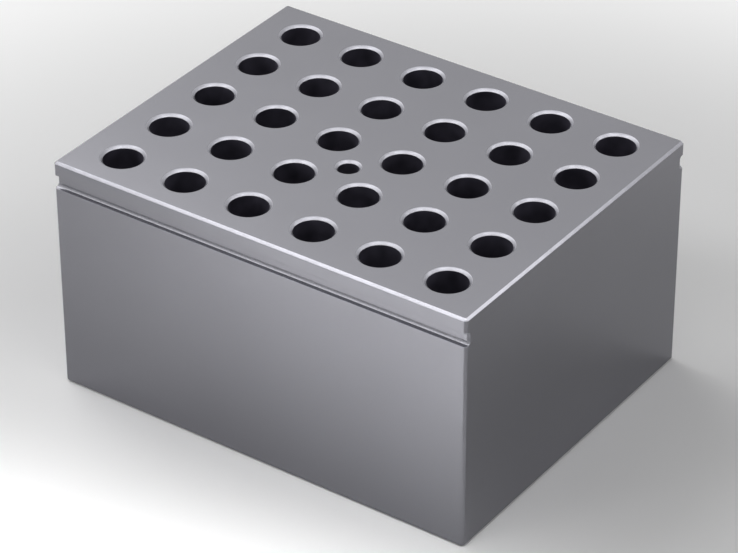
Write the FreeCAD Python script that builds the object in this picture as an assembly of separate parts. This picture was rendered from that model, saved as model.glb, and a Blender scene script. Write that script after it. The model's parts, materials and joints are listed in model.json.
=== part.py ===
"""Interchangeable tube block of a dry block heater: the machined block and its lifting thread insert."""

import math
import os

import FreeCAD
import Part

os.makedirs("parts", exist_ok=True)

# Millimetres. +X runs along the block, +Y across it and +Z up. The origin is the middle of the base.

# Tube wells: a grid of blind drilled holes
WELL_COLUMNS = 6
WELL_ROWS = 5
WELL_DIAMETER = 7.9
WELL_DEPTH = 28.0
WELL_MOUTH_BREAK = 0.5
WELL_WEB_X = 7.1
WELL_WEB_Y = 6.55
DRILL_POINT_ANGLE = 118.0

# Block around the wells
END_WALL = 6.05
SIDE_WALL = 5.0
BLOCK_HEIGHT = 51.0
EDGE_BREAK = 0.5

# Groove along each long side, for a lifting tool, with a lip above it
LIP_HEIGHT = 3.0
GROOVE_HEIGHT = 2.95
GROOVE_DEPTH = 1.0
GROOVE_ROOT_RADIUS = 0.5

# Lifting hole and its thread insert
INSERT_BORE = 3.3
INSERT_WALL = 0.45
INSERT_LENGTH = 8.0
INSERT_DROP = 3.0
INSERT_LEAD_IN = 0.25
LIFTING_HOLE_RUN_OUT = 3.0
LIFTING_HOLE_MOUTH_BREAK = 0.5

# Sizes that follow
WELL_PITCH_X = WELL_DIAMETER + WELL_WEB_X
WELL_PITCH_Y = WELL_DIAMETER + WELL_WEB_Y
BLOCK_LENGTH = (WELL_COLUMNS - 1) * WELL_PITCH_X + WELL_DIAMETER + 2 * END_WALL
BLOCK_DEPTH = (WELL_ROWS - 1) * WELL_PITCH_Y + WELL_DIAMETER + 2 * SIDE_WALL
LIP_UNDERSIDE = BLOCK_HEIGHT - LIP_HEIGHT
LEDGE = LIP_UNDERSIDE - GROOVE_HEIGHT
INSERT_DIAMETER = INSERT_BORE + 2 * INSERT_WALL
LIFTING_HOLE_DEPTH = INSERT_DROP + INSERT_LENGTH + LIFTING_HOLE_RUN_OUT
LIFTING_HOLE_PLACE = (0.0, -WELL_PITCH_Y / 2)
TOOL_OVERRUN = 1.0


def plan_layer(depth, low, high):
    """A slab of the block between two heights, with its four upright edges broken.

    Args:
        depth: Size of the slab across the block.
        low: Height of its underside.
        high: Height of its top.

    Returns:
        The slab as a solid.
    """
    x, y, c = BLOCK_LENGTH / 2, depth / 2, EDGE_BREAK
    right = [(x - c, -y), (x, c - y), (x, y - c), (x - c, y)]
    left = [(-px, -py) for px, py in right]
    points = [FreeCAD.Vector(px, py, low) for px, py in right + left]
    return Part.Face(Part.makePolygon(points + points[:1])).extrude(FreeCAD.Vector(0, 0, high - low))


def edges_at_height(shape, z):
    """The edges of a shape that lie flat at one height."""
    return [e for e in shape.Edges if all(abs(v.Z - z) < 1e-6 for v in e.Vertexes)]


def groove_root_edges(shape):
    """The edges where the groove's wall, broken ends included, meets the lip above and the ledge below it."""
    wall = BLOCK_DEPTH / 2 - GROOVE_DEPTH
    flat = edges_at_height(shape, LIP_UNDERSIDE) + edges_at_height(shape, LEDGE)
    return [e for e in flat if any(abs(abs(v.Y) - wall) < 1e-6 for v in e.Vertexes)]


def drilled_hole(diameter, depth, mouth_break):
    """The shape that a drill and a countersink take out, on the Z axis, with the block's top at height zero.

    Args:
        diameter: Diameter of the hole.
        depth: Depth of the hole at its full diameter.
        mouth_break: Width of the 45 degree break around the mouth.

    Returns:
        The cutting tool as a solid.
    """
    r = diameter / 2
    point = r / math.tan(math.radians(DRILL_POINT_ANGLE / 2))
    profile = [
        (0.0, TOOL_OVERRUN),
        (r + mouth_break + TOOL_OVERRUN, TOOL_OVERRUN),
        (r, -mouth_break),
        (r, -depth),
        (0.0, -depth - point),
    ]
    points = [FreeCAD.Vector(radius, 0, z) for radius, z in profile]
    face = Part.Face(Part.makePolygon(points + points[:1]))
    return face.revolve(FreeCAD.Vector(0, 0, 0), FreeCAD.Vector(0, 0, 1), 360)


def well_places():
    """Centres of the wells, row by row from the front left corner."""
    first_x = -(WELL_COLUMNS - 1) * WELL_PITCH_X / 2
    first_y = -(WELL_ROWS - 1) * WELL_PITCH_Y / 2
    return [
        (first_x + column * WELL_PITCH_X, first_y + row * WELL_PITCH_Y)
        for row in range(WELL_ROWS)
        for column in range(WELL_COLUMNS)
    ]


def moved(shape, x, y, z):
    """A copy of a shape, moved."""
    copy = shape.copy()
    copy.translate(FreeCAD.Vector(x, y, z))
    return copy


def heating_block():
    """The machined block: body, grooves, broken edges, wells and lifting hole."""
    body = plan_layer(BLOCK_DEPTH, 0.0, LEDGE)
    waist = plan_layer(BLOCK_DEPTH - 2 * GROOVE_DEPTH, LEDGE, LIP_UNDERSIDE)
    lip = plan_layer(BLOCK_DEPTH, LIP_UNDERSIDE, BLOCK_HEIGHT)
    block = body.fuse([waist, lip]).removeSplitter()
    block = block.makeFillet(GROOVE_ROOT_RADIUS, groove_root_edges(block))
    rims = edges_at_height(block, 0.0) + edges_at_height(block, BLOCK_HEIGHT)
    block = block.makeChamfer(EDGE_BREAK, rims)
    well = drilled_hole(WELL_DIAMETER, WELL_DEPTH, WELL_MOUTH_BREAK)
    tools = [moved(well, x, y, BLOCK_HEIGHT) for x, y in well_places()]
    hole = drilled_hole(INSERT_DIAMETER, LIFTING_HOLE_DEPTH, LIFTING_HOLE_MOUTH_BREAK)
    tools.append(moved(hole, *LIFTING_HOLE_PLACE, BLOCK_HEIGHT))
    return block.cut(tools).Solids[0]


def lifting_thread_insert():
    """The thread insert, a bush pressed into the lifting hole, with a lead-in at each end of its bore."""
    outer, inner, lead = INSERT_DIAMETER / 2, INSERT_BORE / 2, INSERT_LEAD_IN
    top = BLOCK_HEIGHT - INSERT_DROP
    bottom = top - INSERT_LENGTH
    profile = [
        (outer, bottom),
        (outer, top),
        (inner + lead, top),
        (inner, top - lead),
        (inner, bottom + lead),
        (inner + lead, bottom),
    ]
    points = [FreeCAD.Vector(radius, 0, z) for radius, z in profile]
    face = Part.Face(Part.makePolygon(points + points[:1]))
    bush = face.revolve(FreeCAD.Vector(0, 0, 0), FreeCAD.Vector(0, 0, 1), 360)
    return moved(bush, *LIFTING_HOLE_PLACE, 0.0)


PIECES = {"heating_block": heating_block, "lifting_thread_insert": lifting_thread_insert}

for name, build in PIECES.items():
    build().exportStep("parts/" + name + ".step")
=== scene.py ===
"""Looks of a dry block heater's tube block: the anodised block and the coil in its lifting hole."""

import json
import logging
import math
from dataclasses import dataclass
from enum import Enum
from typing import Any

import bmesh
import bpy
from mathutils import Matrix, Quaternion, Vector


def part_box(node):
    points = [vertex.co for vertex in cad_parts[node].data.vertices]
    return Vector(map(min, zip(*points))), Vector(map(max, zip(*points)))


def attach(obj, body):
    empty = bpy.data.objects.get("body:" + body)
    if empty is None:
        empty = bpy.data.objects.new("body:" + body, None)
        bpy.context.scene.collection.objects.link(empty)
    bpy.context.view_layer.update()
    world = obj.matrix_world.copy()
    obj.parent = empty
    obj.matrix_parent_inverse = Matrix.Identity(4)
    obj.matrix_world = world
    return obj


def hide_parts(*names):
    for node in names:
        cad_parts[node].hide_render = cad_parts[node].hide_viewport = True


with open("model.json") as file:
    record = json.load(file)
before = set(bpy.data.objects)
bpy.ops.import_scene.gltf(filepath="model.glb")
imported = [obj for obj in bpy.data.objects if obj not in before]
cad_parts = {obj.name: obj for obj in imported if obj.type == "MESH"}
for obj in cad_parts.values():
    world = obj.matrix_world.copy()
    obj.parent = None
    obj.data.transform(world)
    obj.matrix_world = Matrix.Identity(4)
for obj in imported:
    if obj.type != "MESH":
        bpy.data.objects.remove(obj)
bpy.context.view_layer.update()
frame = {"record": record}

MM = 0.001
PICTURE_WIDTH_PX = 738
SENSOR_WIDTH = 36.0
# Face attribute that paints the top's broken edges and the wells' mouths lighter: a painted highlight,
# partly rubbed wear
EDGE_LAYER = "broken_edge_highlight_and_wear"
MOUTH_LAYER = "turned_mouth"
WHITE = (1.0, 1.0, 1.0, 1.0)
UP = (0.0, 0.0, 1.0)
LOG = logging.getLogger("tube_block")

# Where most of a noise's values lie
NOISE_LOW = 0.3
NOISE_HIGH = 0.7

# Length of one band of the wave texture at scale 1
WAVE_BAND = math.pi / 10

# Points closer than this are one point
WELD = 0.001 * MM

# The bevel profile that is a quarter of a circle
ROUND_PROFILE = 0.5

# The lifting hole goes on below the coil for this much
LIFTING_RUN_OUT = 3.0 * MM

# What the camera looks at, on the block's top
TARGET_PLACE = (25.068 * MM, -36.078 * MM)

# Metres from the block's middle to the lamps that stand round it, and the middle's height
LAMP_REACH = 0.8
LAMP_AIM_HEIGHT = 0.03


class Side(Enum):
    """The two long sides of the block, by the sign of their Y."""

    FRONT = -1
    BACK = 1


class Ray(Enum):
    """Kinds of ray that see the plain white surroundings, by their Light Path output."""

    CAMERA = "Is Camera Ray"
    GLOSSY = "Is Glossy Ray"
    TRANSMISSION = "Is Transmission Ray"


class NodeBoard:
    """A node tree that is filled a node at a time."""

    def __init__(self, tree: bpy.types.NodeTree) -> None:
        """Takes the tree to fill.

        Args:
            tree: A shader, world or geometry node tree.
        """
        self.tree = tree

    def add(self, kind: str, settings: dict[str, Any] | None = None, **inputs: Any) -> bpy.types.Node:
        """Adds a node, sets it up and feeds its inputs.

        Args:
            kind: The node's type name.
            settings: Values of the node's own properties.
            **inputs: Input socket names, with _ for a space, and a value or an output socket for each.

        Returns:
            The new node.
        """
        node = self.tree.nodes.new(kind)
        for name, value in (settings or {}).items():
            setattr(node, name, value)
        for name, value in inputs.items():
            self.feed(node.inputs[name.replace("_", " ")], value)
        return node

    def feed(self, socket: bpy.types.NodeSocket, value: Any) -> None:
        """Links an output socket to an input socket, or sets the input's value."""
        if isinstance(value, bpy.types.NodeSocket):
            self.tree.links.new(value, socket)
        else:
            socket.default_value = value

    def math(self, operation: str, *values: Any) -> bpy.types.NodeSocket:
        """Adds a Math node and returns its result."""
        node = self.add("ShaderNodeMath", {"operation": operation})
        for socket, value in zip(node.inputs, values):
            self.feed(socket, value)
        return node.outputs[0]


class MaterialBoard(NodeBoard):
    """A new material, textured on Object coordinates."""

    def __init__(self, name: str) -> None:
        """Starts the material.

        Args:
            name: The material's name.
        """
        self.material = bpy.data.materials.new(name)
        self.material.use_nodes = True
        super().__init__(self.material.node_tree)
        self.shader = self.tree.nodes["Principled BSDF"]
        self.place = self.add("ShaderNodeTexCoord").outputs["Object"]

    def attribute(self, name: str) -> bpy.types.NodeSocket:
        """The value of a mesh's own attribute."""
        return self.add("ShaderNodeAttribute", {"attribute_name": name}).outputs["Fac"]

    def noise(self, size: float) -> bpy.types.NodeSocket:
        """A noise between 0 and 1 whose patches are about one size across, in metres."""
        return self.add("ShaderNodeTexNoise", Vector=self.place, Scale=1.0 / size, Detail=2.0).outputs[0]

    def around(self, noise: bpy.types.NodeSocket, middle: float, depth: float) -> bpy.types.NodeSocket:
        """Turns a noise into a value that wanders about a middle.

        Args:
            noise: The noise. Its rare extremes pass beyond the depth.
            middle: The value in the middle.
            depth: How far most of the noise wanders, as a share of the middle.

        Returns:
            The value.
        """
        node = self.add(
            "ShaderNodeMapRange",
            {"clamp": False},
            Value=noise,
            From_Min=NOISE_LOW,
            From_Max=NOISE_HIGH,
            To_Min=middle * (1 - depth),
            To_Max=middle * (1 + depth),
        )
        return node.outputs[0]

    def patches(self, size: float, depth: float) -> bpy.types.NodeSocket:
        """A factor about 1 in patches of one size."""
        return self.around(self.noise(size), 1.0, depth)

    def tint(self, colour: tuple[float, float, float], shade: bpy.types.NodeSocket) -> None:
        """Gives the material a colour times a shade."""
        node = self.add("ShaderNodeVectorMath", {"operation": "SCALE"})
        self.feed(node.inputs[0], colour)
        self.feed(node.inputs["Scale"], shade)
        self.feed(self.shader.inputs["Base Color"], node.outputs["Vector"])

    def relief(self, height: bpy.types.NodeSocket, distance: float) -> None:
        """Gives the material a fine relief.

        Args:
            height: The relief, between 0 and 1.
            distance: What a height of 1 stands for, in metres.
        """
        bump = self.add("ShaderNodeBump", Height=height, Distance=distance, Strength=1.0)
        self.feed(self.shader.inputs["Normal"], bump.outputs["Normal"])


class GeometryTree(NodeBoard):
    """A geometry node tree with named inputs for its sizes."""

    def __init__(self, name: str) -> None:
        """Starts an empty tree.

        Args:
            name: What the tree makes.
        """
        super().__init__(bpy.data.node_groups.new(name, "GeometryNodeTree"))
        self.values: dict[str, Any] = {}
        self.entry = self.tree.nodes.new("NodeGroupInput")
        self.exit = self.tree.nodes.new("NodeGroupOutput")
        self.tree.interface.new_socket("Geometry", in_out="OUTPUT", socket_type="NodeSocketGeometry")
        self.start = self.named("Geometry", "NodeSocketGeometry")

    def named(self, name: str, kind: str, value: Any = None) -> bpy.types.NodeSocket:
        """Adds a named input to the tree.

        Args:
            name: The input's name.
            kind: The input's socket type.
            value: What the modifier sets it to.

        Returns:
            The socket that hands the value to the tree's nodes.
        """
        socket = self.tree.interface.new_socket(name, in_out="INPUT", socket_type=kind)
        if value is not None:
            self.values[socket.identifier] = value
        return next(out for out in self.entry.outputs if out.identifier == socket.identifier)

    def length(self, name: str, value: float) -> bpy.types.NodeSocket:
        """Adds a named length, in metres."""
        return self.named(name, "NodeSocketFloat", value)

    def count(self, name: str, value: int) -> bpy.types.NodeSocket:
        """Adds a named whole number."""
        return self.named(name, "NodeSocketInt", value)

    def circle(self, name: str, radius: float, facets: bpy.types.NodeSocket) -> bpy.types.NodeSocket:
        """Adds a circle round the origin.

        Args:
            name: Name of the radius among the tree's inputs.
            radius: The radius.
            facets: How many sides the circle has.

        Returns:
            The circle as a curve.
        """
        size = self.length(name, radius)
        return self.add("GeometryNodeCurvePrimitiveCircle", Resolution=facets, Radius=size).outputs[0]

    def shifted(
        self, geometry: bpy.types.NodeSocket, name: str, offset: tuple[float, float, float]
    ) -> bpy.types.NodeSocket:
        """Moves a geometry by a named offset."""
        offset_input = self.named(name, "NodeSocketVector", offset)
        return self.add("GeometryNodeSetPosition", Geometry=geometry, Offset=offset_input).outputs[0]

    def realised(self, geometry: bpy.types.NodeSocket) -> bpy.types.NodeSocket:
        """Turns instances into plain geometry."""
        return self.add("GeometryNodeRealizeInstances", Geometry=geometry).outputs[0]

    def dressed(
        self, geometry: bpy.types.NodeSocket, name: str, value: bpy.types.Material, where: Any = True
    ) -> bpy.types.NodeSocket:
        """Gives a geometry a named material.

        Args:
            geometry: The geometry.
            name: Name of the material among the tree's inputs.
            value: The material.
            where: Which faces take it.

        Returns:
            The dressed geometry.
        """
        finish = self.named(name, "NodeSocketMaterial", value)
        node = self.add("GeometryNodeSetMaterial", Geometry=geometry, Selection=where, Material=finish)
        return node.outputs[0]

    def make(self, start: bpy.types.Mesh, result: bpy.types.NodeSocket) -> bpy.types.Mesh:
        """Runs the tree on a mesh.

        Args:
            start: The mesh that the tree starts from.
            result: The geometry that the tree gives out.

        Returns:
            The result as a plain mesh.
        """
        self.tree.links.new(result, self.exit.inputs[0])
        maker = bpy.data.objects.new(self.tree.name, start)
        bpy.context.scene.collection.objects.link(maker)
        modifier = maker.modifiers.new(self.tree.name, "NODES")
        modifier.node_group = self.tree
        for identifier, value in self.values.items():
            modifier[identifier] = value
        mesh = plain_mesh(maker)
        bpy.data.objects.remove(maker)
        return mesh


def plain_mesh(piece: bpy.types.Object) -> bpy.types.Mesh:
    """A new mesh of an object as its modifiers leave it."""
    bpy.context.view_layer.update()
    graph = bpy.context.evaluated_depsgraph_get()
    return bpy.data.meshes.new_from_object(piece.evaluated_get(graph))


def polyline(name: str, points: list[tuple[float, float]], closed: bool) -> bpy.types.Mesh:
    """A mesh of edges through points in the XY plane.

    Args:
        name: The mesh's name.
        points: The points, in order.
        closed: Whether the last point joins the first.

    Returns:
        The mesh, with no faces.
    """
    edges = [(i, i + 1) for i in range(len(points) - 1)]
    if closed:
        edges.append((len(points) - 1, 0))
    mesh = bpy.data.meshes.new(name)
    mesh.from_pydata([(x, y, 0.0) for x, y in points], edges, [])
    return mesh


@dataclass(frozen=True)
class AnodisedFinish:
    """Fine matt dark grey anodising over bead-blasted aluminium, painted lighter on the broken edges as a
    painted highlight and rubbed wear.
    """

    colour: tuple[float, float, float] = (0.2165, 0.216, 0.2365)
    metallic: float = 1.0
    roughness: float = 0.25
    mouth_roughness: float = 0.37
    cloud_size: float = 30 * MM
    cloud_depth: float = 0.02
    smudge_size: float = 11 * MM
    smudge_depth: float = 0.04
    grain_size: float = 0.22 * MM
    grain_depth: float = 0.04
    grain_height: float = 0.003 * MM
    # The broken edges are painted lighter by this share: a painted highlight, partly rubbed wear
    edge_highlight_and_wear_gain: float = 0.35
    edge_patch: float = 2.5 * MM
    edge_depth: float = 0.2

    def material(self, name: str) -> bpy.types.Material:
        """Makes the material.

        Args:
            name: The material's name.

        Returns:
            The material, on Object coordinates and the block's own attributes.
        """
        board = MaterialBoard(name)
        cloud = board.patches(self.cloud_size, self.cloud_depth)
        smudge = board.patches(self.smudge_size, self.smudge_depth)
        grain = board.noise(self.grain_size)
        speck = board.around(grain, 1.0, self.grain_depth)
        # Lighter paint on the broken edges and mouths, in patches: painted highlight and rubbed wear
        rubbed_and_highlit = board.around(board.noise(self.edge_patch), self.edge_highlight_and_wear_gain, self.edge_depth)
        wear_and_highlight = board.math("MULTIPLY_ADD", board.attribute(EDGE_LAYER), rubbed_and_highlit, 1.0)
        board.tint(self.colour, board.math("MULTIPLY", board.math("MULTIPLY", cloud, speck), wear_and_highlight))
        coarser = self.mouth_roughness - self.roughness
        matt = board.math("MULTIPLY_ADD", board.attribute(MOUTH_LAYER), coarser, self.roughness)
        board.feed(board.shader.inputs["Roughness"], board.math("MULTIPLY", smudge, matt))
        board.feed(board.shader.inputs["Metallic"], self.metallic)
        board.relief(grain, self.grain_height)
        return board.material


@dataclass(frozen=True)
class BoreFinish:
    """The drilled walls of the wells, painted dark as the shade deep in the wells, and faintly ringed by
    the drill.
    """

    # Dark colour that paints the shade deep in the wells
    colour: tuple[float, float, float] = (0.066, 0.062, 0.085)
    roughness: float = 0.5
    metallic: float = 0.6
    cloud_size: float = 4 * MM
    cloud_depth: float = 0.2
    ring_pitch: float = 1.885 * MM
    ring_wander: float = 1.5
    ring_height: float = 0.003 * MM

    def material(self, name: str) -> bpy.types.Material:
        """Makes the material.

        Args:
            name: The material's name.

        Returns:
            The material, on Object coordinates.
        """
        board = MaterialBoard(name)
        rings = board.add(
            "ShaderNodeTexWave",
            {"bands_direction": "Z"},
            Vector=board.place,
            Scale=WAVE_BAND / self.ring_pitch,
            Distortion=self.ring_wander,
        )
        cloud = board.patches(self.cloud_size, self.cloud_depth)
        board.tint(self.colour, cloud)
        board.feed(board.shader.inputs["Roughness"], board.math("MULTIPLY", cloud, self.roughness))
        board.feed(board.shader.inputs["Metallic"], self.metallic)
        board.relief(rings.outputs[1], self.ring_height)
        return board.material


@dataclass(frozen=True)
class SteelFinish:
    """Bright drawn stainless wire, dulled in patches by handling tools."""

    colour: tuple[float, float, float] = (0.56, 0.55, 0.53)
    roughness: float = 0.28
    metallic: float = 1.0
    streak_size: float = 0.15 * MM
    streak_depth: float = 0.15
    dull_size: float = 1.2 * MM
    dull_depth: float = 0.1
    grain_size: float = 0.05 * MM
    grain_height: float = 0.002 * MM

    def material(self, name: str) -> bpy.types.Material:
        """Makes the material.

        Args:
            name: The material's name.

        Returns:
            The material, on Object coordinates.
        """
        board = MaterialBoard(name)
        streak = board.patches(self.streak_size, self.streak_depth)
        dull = board.patches(self.dull_size, self.dull_depth)
        board.tint(self.colour, board.math("MULTIPLY", streak, dull))
        board.feed(board.shader.inputs["Roughness"], board.math("MULTIPLY", streak, self.roughness))
        board.feed(board.shader.inputs["Metallic"], self.metallic)
        board.relief(board.noise(self.grain_size), self.grain_height)
        return board.material


@dataclass(frozen=True)
class WellGrid:
    """Where the wells are and how wide and deep, read from the frame's record."""

    columns: int
    rows: int
    pitch_x: float
    pitch_y: float
    radius: float
    depth: float

    @classmethod
    def from_mounts(cls, mounts: list[dict[str, Any]], top: float) -> "WellGrid":
        """Reads the grid from the wells among the record's mounts.

        Args:
            mounts: The record's mounts.
            top: Height of the block's top.

        Returns:
            The grid.
        """
        wells = [m for m in mounts if m["name"].startswith("well_")]
        xs = sorted({m["pos_m"][0] for m in wells})
        ys = sorted({m["pos_m"][1] for m in wells})
        wall = wells[0]["dims"]["length_mm"] * MM
        return cls(
            columns=len(xs),
            rows=len(ys),
            pitch_x=(xs[-1] - xs[0]) / (len(xs) - 1),
            pitch_y=(ys[-1] - ys[0]) / (len(ys) - 1),
            radius=wells[0]["dims"]["r_mm"] * MM,
            depth=top - wells[0]["pos_m"][2] + wall / 2,
        )

    def spread(self, tree: GeometryTree, hole: bpy.types.NodeSocket) -> bpy.types.NodeSocket:
        """Repeats a hole's geometry over the grid.

        Args:
            tree: The tree that the nodes are added to.
            hole: Geometry of one hole, at the origin.

        Returns:
            The geometry of all the holes, with the grid's middle at the origin.
        """
        places = tree.add(
            "GeometryNodeMeshGrid",
            Size_X=tree.length("Span X", self.pitch_x * (self.columns - 1)),
            Size_Y=tree.length("Span Y", self.pitch_y * (self.rows - 1)),
            Vertices_X=tree.count("Columns", self.columns),
            Vertices_Y=tree.count("Rows", self.rows),
        )
        copies = tree.add("GeometryNodeInstanceOnPoints", Points=places.outputs[0], Instance=hole)
        return tree.realised(copies.outputs[0])


@dataclass
class HeatingBlock:
    """The machined block: a body with a groove along each long side, a deck of wells and a lifting hole.

    Lengths are in metres and angles in degrees. The limits are for the upward part of a face's normal.
    """

    low: Vector
    high: Vector
    wells: WellGrid
    lifting_place: tuple[float, float]
    lifting_radius: float
    lifting_depth: float
    edge_break: float = 0.5 * MM
    edge_round: float = 0.05 * MM
    mouth_round: float = 0.03 * MM
    # The wells' mouths are painted lighter still than the top's edges: a painted highlight, partly wear
    mouth_wear_and_highlight: float = 1.45
    round_steps: int = 2
    lip_height: float = 3.0 * MM
    groove_height: float = 2.95 * MM
    groove_depth: float = 1.0 * MM
    root_radius: float = 0.6 * MM
    root_steps: int = 8
    rim_width: float = 0.2 * MM
    well_facets: int = 96
    point_angle: float = 118.0
    sharp_angle: float = 30.0
    flat_limit: float = 0.97
    level_limit: float = 0.99
    even_weight: int = 100

    def side_rails(self, side: Side) -> list[list[Vector]]:
        """The lines along a long side, from the base to the top.

        Args:
            side: The long side.

        Returns:
            For each line its points at the left end, the left corner, the right corner and the right end.
        """
        x, y, c = self.high.x, self.high.y, self.edge_break
        diagonal = math.sqrt(2)
        ledge = self.high.z - self.lip_height - self.groove_height
        lip = self.high.z - self.lip_height
        tucked = c * (diagonal - 1)

        def rail(z: float, end: float, corner_x: float, out_y: float, corner_y: float) -> list[Vector]:
            """One line along the side, mirrored end to end."""
            half = [(end, corner_y), (corner_x, out_y)]
            points = [(-px, py) for px, py in half] + list(reversed(half))
            return [Vector((px, side.value * py, z)) for px, py in points]

        def wall(z: float, out: float) -> list[Vector]:
            """A line along the groove's wall, or out from it on its root radius."""
            inner = y - self.groove_depth
            return rail(z, x, x - c + out * (diagonal - 1), inner + out, inner - c + out * diagonal)

        rounds = [math.pi / 2 * i / self.root_steps for i in range(self.root_steps + 1)]
        r = self.root_radius
        lower = [wall(ledge + r * (1 - math.cos(a)), r * (1 - math.sin(a))) for a in rounds]
        upper = [wall(lip - r * (1 - math.cos(a)), r * (1 - math.sin(a))) for a in reversed(rounds)]
        full = [rail(z, x, x - c, y, y - c) for z in (self.low.z + c, ledge, lip, self.high.z - c)]
        inset = [rail(z, x - c, x - c - tucked, y - c, y - c - tucked) for z in (self.low.z, self.high.z)]
        return [inset[0], full[0], full[1]] + lower + upper + [full[2], full[3], inset[1]]

    def body(self) -> bmesh.types.BMesh:
        """The block's outside, with its edges broken and finely rounded and its top face still whole."""
        bm = bmesh.new()
        rails = {side: [[bm.verts.new(p) for p in rail] for rail in self.side_rails(side)] for side in Side}
        front, back = rails[Side.FRONT], rails[Side.BACK]
        for lower, upper in zip(front, front[1:]):
            for corners in zip(lower, lower[1:], upper[1:], upper):
                bm.faces.new(corners)
        for lower, upper in zip(back, back[1:]):
            for corners in zip(lower[1:], lower, upper, upper[1:]):
                bm.faces.new(corners)
        left, right = 0, -1
        for end in (left, right):
            up = [rail[end] for rail in back]
            down = [rail[end] for rail in front]
            for ring in (up[:2] + down[1::-1], up[1:-1] + down[-2:0:-1], up[-2:] + down[:-3:-1]):
                bm.faces.new(ring if end == right else ring[::-1])
        bm.faces.new(front[-1] + back[-1][::-1])
        bm.faces.new(back[0] + front[0][::-1])
        bm.normal_update()
        limit = math.radians(self.sharp_angle)
        sharp = [e for e in bm.edges if e.is_convex and e.calc_face_angle() > limit]
        bmesh.ops.bevel(
            bm,
            geom=sharp,
            offset=self.edge_round,
            offset_type="OFFSET",
            segments=self.round_steps,
            profile=ROUND_PROFILE,
            affect="EDGES",
            clamp_overlap=True,
        )
        bm.normal_update()
        return bm

    def hole_profile(self, name: str, radius: float, depth: float) -> bpy.types.Mesh:
        """The section of a drilled hole from the tip of its drill point to the deck around its mouth.

        Args:
            name: The mesh's name.
            radius: Radius of the hole.
            depth: Depth of the hole at its full radius.

        Returns:
            The section as a mesh of edges, with depth along Y and the hole's wall at X zero.
        """
        point = radius / math.tan(math.radians(self.point_angle / 2))
        section = [
            (-radius, depth + point),
            (0.0, depth),
            (0.0, self.edge_break),
            (self.edge_break, 0.0),
            (self.edge_break + self.rim_width, 0.0),
        ]
        return polyline(name, section, closed=False)

    def holes(
        self,
        name: str,
        grid: WellGrid,
        centre: tuple[float, float],
        outside: bpy.types.Material,
        inside: bpy.types.Material,
    ) -> bpy.types.Mesh:
        """Turns a hole's section round its axis and repeats it over a grid.

        Args:
            name: The mesh's name.
            grid: The holes' count, pitch, radius and depth.
            centre: Middle of the grid.
            outside: Material of the deck and of the mouths.
            inside: Material of the walls.

        Returns:
            The holes' surfaces as one mesh.
        """
        tree = GeometryTree(name)
        section = tree.add("GeometryNodeMeshToCurve", Mesh=tree.start)
        eased = tree.add(
            "GeometryNodeFilletCurve",
            {"mode": "POLY"},
            Curve=section.outputs[0],
            Count=tree.count("Round Steps", self.round_steps),
            Radius=tree.length("Edge Round", self.mouth_round),
            Limit_Radius=True,
        )
        ring = tree.circle("Wall Radius", grid.radius, tree.count("Facets", self.well_facets))
        hole = tree.add("GeometryNodeCurveToMesh", Curve=ring, Profile_Curve=eased.outputs[0])
        closed = tree.add("GeometryNodeMergeByDistance", Geometry=hole.outputs[0], Distance=WELD)
        real = grid.spread(tree, closed.outputs[0])
        placed = tree.shifted(real, "Deck Centre", (*centre, self.high.z))
        plain = tree.dressed(placed, "Outside", outside)
        height = tree.add("ShaderNodeSeparateXYZ", Vector=tree.add("GeometryNodeInputPosition").outputs[0])
        wall_top = tree.length("Wall Top", self.high.z - self.edge_break)
        deep = tree.math("LESS_THAN", height.outputs["Z"], wall_top)
        result = tree.dressed(plain, "Inside", inside, where=deep)
        return tree.make(self.hole_profile(name + "_section", grid.radius, grid.depth), result)

    def deck(self, outline: list[tuple[float, float]], outside: bpy.types.Material) -> bpy.types.Mesh:
        """The flat top, cut out round every well and the lifting hole.

        Args:
            outline: The deck's corners, in order.
            outside: The deck's material.

        Returns:
            The deck as a mesh.
        """
        tree = GeometryTree("deck")
        margin = self.edge_break + self.rim_width
        facets = tree.count("Facets", self.well_facets)
        border = tree.add("GeometryNodeMeshToCurve", Mesh=tree.start).outputs[0]
        mouth = tree.circle("Well Mouth", self.wells.radius + margin, facets)
        mouths = self.wells.spread(tree, mouth)
        lifting = tree.circle("Lifting Mouth", self.lifting_radius + margin, facets)
        lifting_placed = tree.shifted(lifting, "Lifting Place", (*self.lifting_place, 0.0))
        loops = tree.add("GeometryNodeJoinGeometry")
        for loop in (border, mouths, lifting_placed):
            tree.feed(loops.inputs[0], loop)
        filled = tree.add("GeometryNodeFillCurve", {"mode": "TRIANGLES"}, Curve=loops.outputs[0])
        raised = tree.shifted(filled.outputs[0], "Top", (0.0, 0.0, self.high.z))
        result = tree.dressed(raised, "Outside", outside)
        return tree.make(polyline("deck_outline", outline, closed=True), result)

    def is_worn_and_highlit(self, face: bmesh.types.BMFace) -> bool:
        """Whether a face is part of the top's broken edges or of a well's mouth, which take a painted
        highlight and rubbed wear.
        """
        on_top = face.calc_center_median().z > self.high.z - self.edge_break
        return on_top and face.material_index == 0 and face.normal.z < self.flat_limit

    def is_mouth(self, face: bmesh.types.BMFace) -> bool:
        """Whether a face is part of a well's or the lifting hole's mouth."""
        place = face.calc_center_median()
        reach = self.high - Vector((self.edge_break, self.edge_break, 0.0))
        return abs(place.x) < reach.x and abs(place.y) < reach.y and self.is_worn_and_highlit(face)

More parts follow.
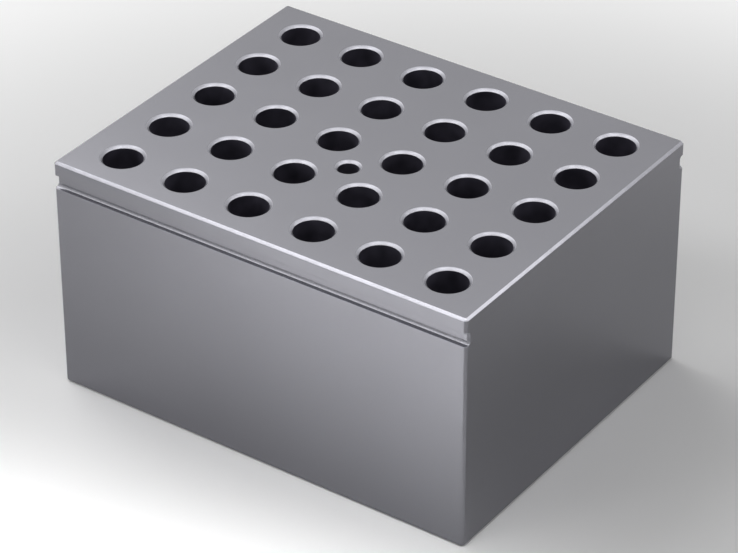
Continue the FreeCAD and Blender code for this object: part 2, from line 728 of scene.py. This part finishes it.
    def build(self, outside: bpy.types.Material, inside: bpy.types.Material) -> bpy.types.Object:
        """Makes the block as one closed mesh.

        Args:
            outside: Material of the faces and edges.
            inside: Material of the wells' walls.

        Returns:
            The block.
        """
        bm = self.body()
        level = [f for f in bm.faces if f.normal.z > self.level_limit]
        top = max(level, key=lambda f: f.calc_center_median().z * f.calc_area())
        outline = [(v.co.x, v.co.y) for v in top.verts]
        bmesh.ops.delete(bm, geom=[top], context="FACES_ONLY")
        lifting = WellGrid(1, 1, 0.0, 0.0, self.lifting_radius, self.lifting_depth)
        parts = [
            self.deck(outline, outside),
            self.holes("wells", self.wells, (0.0, 0.0), outside, inside),
            self.holes("lifting_hole", lifting, self.lifting_place, outside, inside),
        ]
        materials = [outside, inside]
        for part in parts:
            first = len(bm.faces)
            bm.from_mesh(part)
            bm.faces.ensure_lookup_table()
            for face in bm.faces[first:]:
                face.material_index = materials.index(part.materials[face.material_index])
        bmesh.ops.remove_doubles(bm, verts=bm.verts, dist=WELD)
        edges = bm.faces.layers.float.new(EDGE_LAYER)
        mouths = bm.faces.layers.float.new(MOUTH_LAYER)
        for face in bm.faces:
            at_mouth = self.is_mouth(face)
            face.smooth = True
            face[mouths] = float(at_mouth)
            # The broken edges and mouths take the painted highlight and wear
            face[edges] = self.mouth_wear_and_highlight if at_mouth else float(self.is_worn_and_highlit(face))
        mesh = bpy.data.meshes.new("heating_block_dressed")
        bm.to_mesh(mesh)
        bm.free()
        for material in materials:
            mesh.materials.append(material)
        block = bpy.data.objects.new("heating_block_dressed", mesh)
        bpy.context.scene.collection.objects.link(block)
        even = block.modifiers.new("even_normals", "WEIGHTED_NORMAL")
        even.weight = self.even_weight
        block.data = plain_mesh(block)
        block.modifiers.clear()
        return block


@dataclass
class ThreadCoil:
    """The thread insert as it is: a wire wound into a coil that lines the lifting hole."""

    place: tuple[float, float]
    bottom: float
    top: float
    bore_radius: float
    outer_radius: float
    pitch: float = 0.7 * MM
    turn_gap: float = 0.06 * MM
    steps_per_turn: int = 48

    def build(self, wire: bpy.types.Material) -> bpy.types.Object:
        """Winds the coil.

        Args:
            wire: The wire's material.

        Returns:
            The coil.
        """
        tree = GeometryTree("thread_coil")
        width = self.pitch - self.turn_gap
        height = self.top - self.bottom - width
        turns = height / self.pitch
        middle = (self.bore_radius + self.outer_radius) / 2
        spiral = tree.add(
            "GeometryNodeCurveSpiral",
            Resolution=tree.count("Steps", self.steps_per_turn),
            Rotations=tree.named("Turns", "NodeSocketFloat", turns),
            Start_Radius=tree.length("Wire Middle", middle),
            End_Radius=middle,
            Height=tree.length("Rise", height),
        )
        upright = tree.add("GeometryNodeSetCurveNormal", {"mode": "Z_UP"}, Curve=spiral.outputs[0])
        wire_section = tree.add(
            "GeometryNodeCurvePrimitiveQuadrilateral",
            {"mode": "KITE"},
            Width=tree.length("Wire Width", self.outer_radius - self.bore_radius),
            Bottom_Height=tree.length("Wire Half Height", width / 2),
            Top_Height=width / 2,
        )
        coil = tree.add(
            "GeometryNodeCurveToMesh",
            Curve=upright.outputs[0],
            Profile_Curve=wire_section.outputs[0],
            Fill_Caps=True,
        )
        placed = tree.shifted(coil.outputs[0], "Seat", (*self.place, self.bottom + width / 2))
        result = tree.dressed(tree.realised(placed), "Wire", wire)
        mesh = tree.make(bpy.data.meshes.new("coil_start"), result)
        piece = bpy.data.objects.new("lifting_thread_coil", mesh)
        bpy.context.scene.collection.objects.link(piece)
        return piece


def outwards(azimuth: float, elevation: float) -> Vector:
    """A direction away from the block.

    Args:
        azimuth: Degrees from the front, positive to the right.
        elevation: Degrees above the floor.

    Returns:
        The direction, one long.
    """
    a, e = math.radians(azimuth), math.radians(elevation)
    return Vector((math.sin(a) * math.cos(e), -math.cos(a) * math.cos(e), math.sin(e)))


@dataclass(frozen=True)
class Softbox:
    """One studio lamp out of the camera's sight: a disk, or a strip where it has a length.

    Lengths are in metres, the power is in watts, and the spread and the turn are in degrees.
    """

    name: str
    place: tuple[float, float, float]
    aim: tuple[float, float, float]
    size: float
    power: float
    spread: float = 180.0
    length: float = 0.0
    turn: float = 0.0

    @classmethod
    def around(
        cls, name: str, azimuth: float, elevation: float, power: float, size: float = 0.35
    ) -> "Softbox":
        """A lamp on a sphere round the block.

        Args:
            name: The lamp's name.
            azimuth: Degrees from the front, positive to the right.
            elevation: Degrees above the floor.
            power: The lamp's power, in watts.
            size: The lamp's width.

        Returns:
            The lamp, aimed at the block's middle.
        """
        aim = Vector((0.0, 0.0, LAMP_AIM_HEIGHT))
        place = aim + LAMP_REACH * outwards(azimuth, elevation)
        return cls(name, tuple(place), tuple(aim), size, power)

    def build(self) -> None:
        """Places the lamp."""
        lamp = bpy.data.lights.new(self.name, "AREA")
        lamp.shape = "RECTANGLE" if self.length else "DISK"
        lamp.size = self.length or self.size
        lamp.size_y = self.size
        lamp.energy = self.power
        lamp.spread = math.radians(self.spread)
        holder = bpy.data.objects.new(self.name, lamp)
        holder.location = self.place
        aimed = (Vector(self.aim) - Vector(self.place)).to_track_quat("-Z", "Y")
        holder.rotation_mode = "QUATERNION"
        holder.rotation_quaternion = Quaternion(UP, math.radians(self.turn)) @ aimed
        holder.visible_camera = False
        bpy.context.scene.collection.objects.link(holder)


@dataclass
class Studio:
    """The pale floor, the lamps, the white surroundings and the camera.

    The bow is a row of small lamps over the block, which light the rims of its mouths and its upper edges.
    Each has its azimuth, elevation and power.
    """

    target: Vector
    floor_size: float = 6.0
    floor_colour: tuple[float, float, float, float] = (0.94, 0.94, 0.94, 1.0)
    fade_centre: tuple[float, float, float] = (0.005, 0.004, 0.0)
    fade_from: float = 0.09
    fade_to: float = 0.22
    lens_px: float = 3492.18
    azimuth: float = 35.1728
    elevation: float = 33.2847
    roll: float = -0.1359
    distance: float = 632.91 * MM
    lamps: tuple[Softbox, ...] = (
        Softbox.around("back_left", 230.0, 60.0, 0.74, size=0.8),
        Softbox.around("left", 275.0, 48.0, 1.08, size=0.6),
        Softbox.around("low_back_left", 250.0, 44.0, 1.23, size=0.6),
        Softbox.around("low_left", 300.0, 20.0, 0.44),
        Softbox.around("right_over", 90.0, 62.0, 0.20),
        Softbox("right_edge", (0.239, 0.202, 0.219), (0.047, -0.037, 0.051), 0.09, 0.044),
        Softbox("floor_front", (-0.05, -0.22, 0.12), (-0.05, -0.22, 0.0), 0.08, 0.172, spread=115.0),
        Softbox(
            "floor_strip",
            (0.005, -0.114, 0.15),
            (0.005, -0.114, 0.0),
            size=0.06,
            power=0.0475,
            spread=46.0,
            length=0.15,
            turn=19.0,
        ),
    )
    bow: tuple[tuple[float, float, float], ...] = (
        (303.0, 36.0, 0.06),
        (335.0, 20.0, 0.26),
        (318.0, 46.0, 0.32),
        (337.0, 50.0, 0.34),
        (355.0, 52.0, 0.24),
        (15.0, 56.0, 0.23),
        (35.0, 57.0, 0.26),
        (55.0, 56.0, 0.26),
        (67.0, 54.0, 0.20),
        (82.0, 50.0, 0.20),
        (107.0, 43.0, 0.24),
        (127.0, 36.0, 0.11),
    )
    bow_size: float = 0.2

    def white_where_seen(self, board: NodeBoard) -> bpy.types.NodeSocket:
        """1 for a ray that sees the surroundings plainly, and 0 for one that only gathers light."""
        path = board.add("ShaderNodeLightPath")
        seen = path.outputs[Ray.CAMERA.value]
        for ray in (Ray.GLOSSY, Ray.TRANSMISSION):
            seen = board.math("MAXIMUM", seen, path.outputs[ray.value])
        return seen

    def floor(self) -> bpy.types.Object:
        """The pale floor, which keeps the block's shadow and fades to white away from it."""
        half = self.floor_size / 2
        mesh = bpy.data.meshes.new("floor")
        corners = [(-half, -half, 0.0), (half, -half, 0.0), (half, half, 0.0), (-half, half, 0.0)]
        mesh.from_pydata(corners, [], [(0, 1, 2, 3)])
        board = MaterialBoard("pale_floor")
        board.tree.nodes.remove(board.shader)
        matt = board.add("ShaderNodeBsdfDiffuse", Color=self.floor_colour)
        white = board.add("ShaderNodeEmission", Color=WHITE, Strength=1.0)
        away = board.add("ShaderNodeVectorMath", {"operation": "DISTANCE"})
        board.feed(away.inputs[0], board.place)
        board.feed(away.inputs[1], self.fade_centre)
        fade = board.add(
            "ShaderNodeMapRange",
            {"interpolation_type": "SMOOTHSTEP"},
            Value=away.outputs["Value"],
            From_Min=self.fade_from,
            From_Max=self.fade_to,
        )
        far = board.math("MULTIPLY", fade.outputs[0], self.white_where_seen(board))
        mixed = board.add("ShaderNodeMixShader", Fac=far)
        board.feed(mixed.inputs[1], matt.outputs[0])
        board.feed(mixed.inputs[2], white.outputs[0])
        board.feed(board.tree.nodes["Material Output"].inputs["Surface"], mixed.outputs[0])
        mesh.materials.append(board.material)
        floor = bpy.data.objects.new("floor", mesh)
        bpy.context.scene.collection.objects.link(floor)
        return floor

    def surroundings(self) -> None:
        """White where a ray sees the surroundings."""
        world = bpy.data.worlds.new("studio")
        world.use_nodes = True
        board = NodeBoard(world.node_tree)
        ground = world.node_tree.nodes["Background"]
        board.feed(ground.inputs["Color"], WHITE)
        board.feed(ground.inputs["Strength"], self.white_where_seen(board))
        bpy.context.scene.world = world

    def camera(self) -> None:
        """The camera at the photograph's angle."""
        back = outwards(self.azimuth, self.elevation)
        level = Vector(UP).cross(back).normalized()
        roll = Quaternion(back, math.radians(self.roll))
        right, up = roll @ level, roll @ back.cross(level)
        data = bpy.data.cameras.new("camera")
        data.sensor_width = SENSOR_WIDTH
        data.lens = self.lens_px * SENSOR_WIDTH / PICTURE_WIDTH_PX
        holder = bpy.data.objects.new("camera", data)
        turn = Matrix((right, up, back)).transposed().to_4x4()
        holder.matrix_world = Matrix.Translation(self.target + back * self.distance) @ turn
        bpy.context.scene.collection.objects.link(holder)
        bpy.context.scene.camera = holder

    def build(self) -> None:
        """Sets up everything around the block."""
        self.floor()
        for lamp in self.lamps:
            lamp.build()
        for i, where in enumerate(self.bow):
            Softbox.around(f"bow_{i + 1}", *where, size=self.bow_size).build()
        self.surroundings()
        self.camera()
        bpy.context.scene.view_settings.view_transform = "Standard"


def settle(piece: bpy.types.Object, node: str) -> None:
    """Hands a finished piece to the frame in place of its CAD node.

    Args:
        piece: The finished piece.
        node: The node that it stands for.
    """
    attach(piece, "root")
    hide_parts(node)
    LOG.info("%s: %d faces, stands for %s", piece.name, len(piece.data.polygons), node)


def main() -> None:
    """Builds the block, the coil and the studio."""
    logging.basicConfig(level=logging.INFO, format="%(name)s: %(message)s")
    low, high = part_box("heating_block")
    seat_low, seat_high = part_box("lifting_thread_insert")
    place = ((seat_low.x + seat_high.x) / 2, (seat_low.y + seat_high.y) / 2)
    mounts = frame["record"]["mounts"]
    thread = next(m for m in mounts if m["name"] == "lifting_thread")
    anodised = AnodisedFinish().material("anodised_finish")
    painted_shade_bore = BoreFinish().material("drilled_painted_shade")
    steel = SteelFinish().material("wire_finish")
    insert_radius = (seat_high.x - seat_low.x) / 2
    block = HeatingBlock(
        low=low,
        high=high,
        wells=WellGrid.from_mounts(mounts, high.z),
        lifting_place=place,
        lifting_radius=insert_radius,
        lifting_depth=high.z - seat_low.z + LIFTING_RUN_OUT,
    )
    settle(block.build(anodised, painted_shade_bore), "heating_block")
    coil = ThreadCoil(
        place=place,
        bottom=seat_low.z,
        top=seat_high.z,
        bore_radius=thread["dims"]["r_mm"] * MM,
        outer_radius=insert_radius,
    )
    settle(coil.build(steel), "lifting_thread_insert")
    Studio(target=Vector((*TARGET_PLACE, high.z))).build()


if __name__ == "__main__":
    main()
